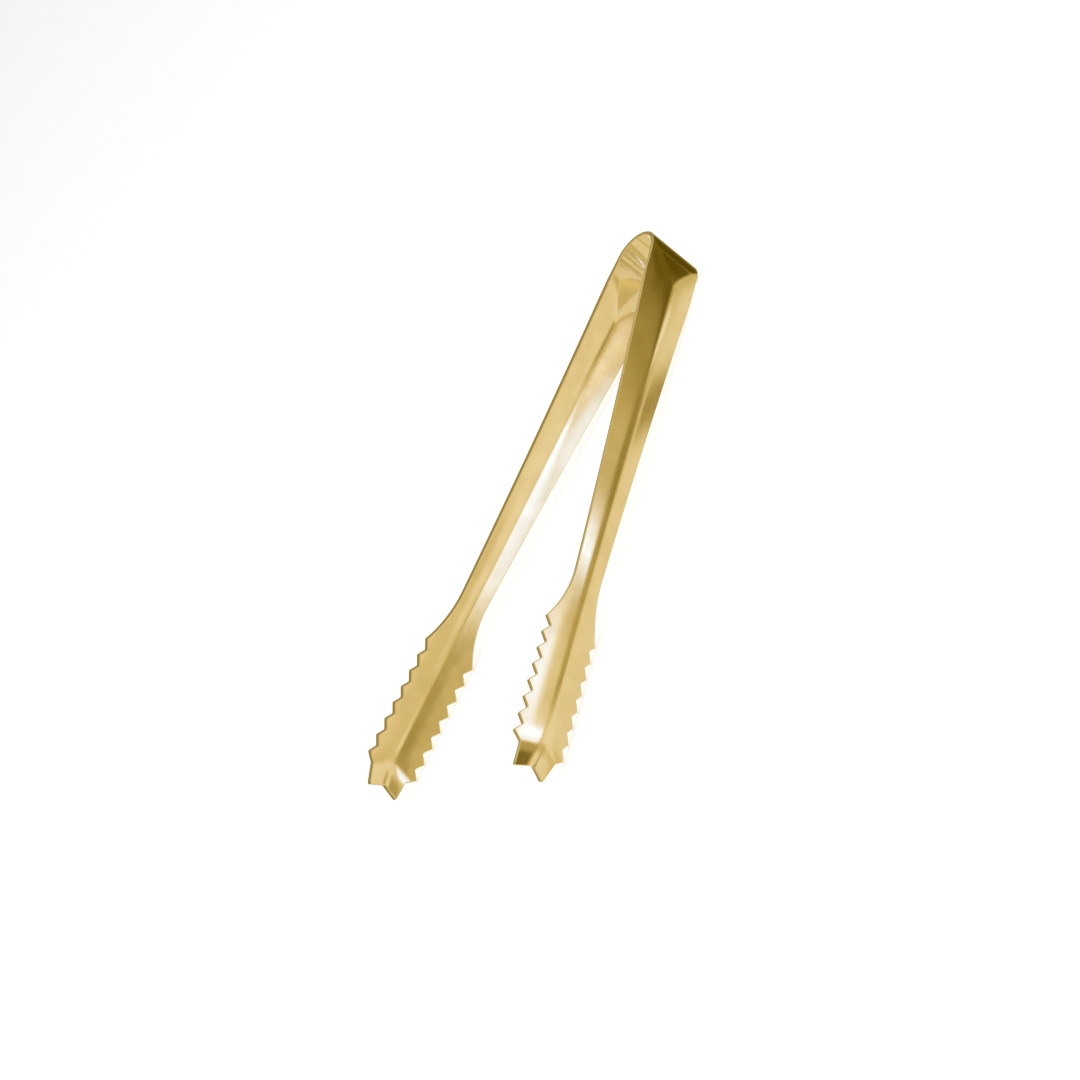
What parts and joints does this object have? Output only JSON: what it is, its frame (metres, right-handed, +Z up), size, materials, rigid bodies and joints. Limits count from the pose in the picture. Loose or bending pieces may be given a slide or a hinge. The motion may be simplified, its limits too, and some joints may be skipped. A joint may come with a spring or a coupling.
{
  "type": "ice tongs",
  "caption": "Sheet-metal ice tongs: a flat U-bend spring, V-creased arms, saw-toothed jaws and forked claws bent inward.",
  "frame": {"origin": "bottom centre of the bounding box, with the tongs lying on their side at rest", "axes": "+X from the claws to the bow, Y the direction in which the tongs open, +Z up across the width of the strip"},
  "size_m": [0.1781, 0.071, 0.0186],
  "materials": {
    "gold_steel": "satin gold, brushed lengthwise"
  },
  "bodies": {
    "bow": {"bow_spring": "gold_steel"},
    "left_arm": {"arm_left": "gold_steel"},
    "right_arm": {"arm_right": "gold_steel"}
  },
  "joints": [
    {"name": "left_flex", "type": "hinge", "parent": "bow", "child": "left_arm", "pos_m": [0.08113, 0.00745, 0.0093], "axis": [0, 0, 1], "range_deg": [-2, 10.9], "stiffness_Nm_per_rad": 2.5},
    {"name": "right_flex", "type": "hinge", "parent": "bow", "child": "right_arm", "pos_m": [0.08113, -0.00745, 0.0093], "axis": [0, 0, -1], "range_deg": [-2, 10.9], "stiffness_Nm_per_rad": 2.5}
  ],
  "couplings": [
    {"joint": "right_flex", "follows": "left_flex", "ratio": 1}
  ]
}
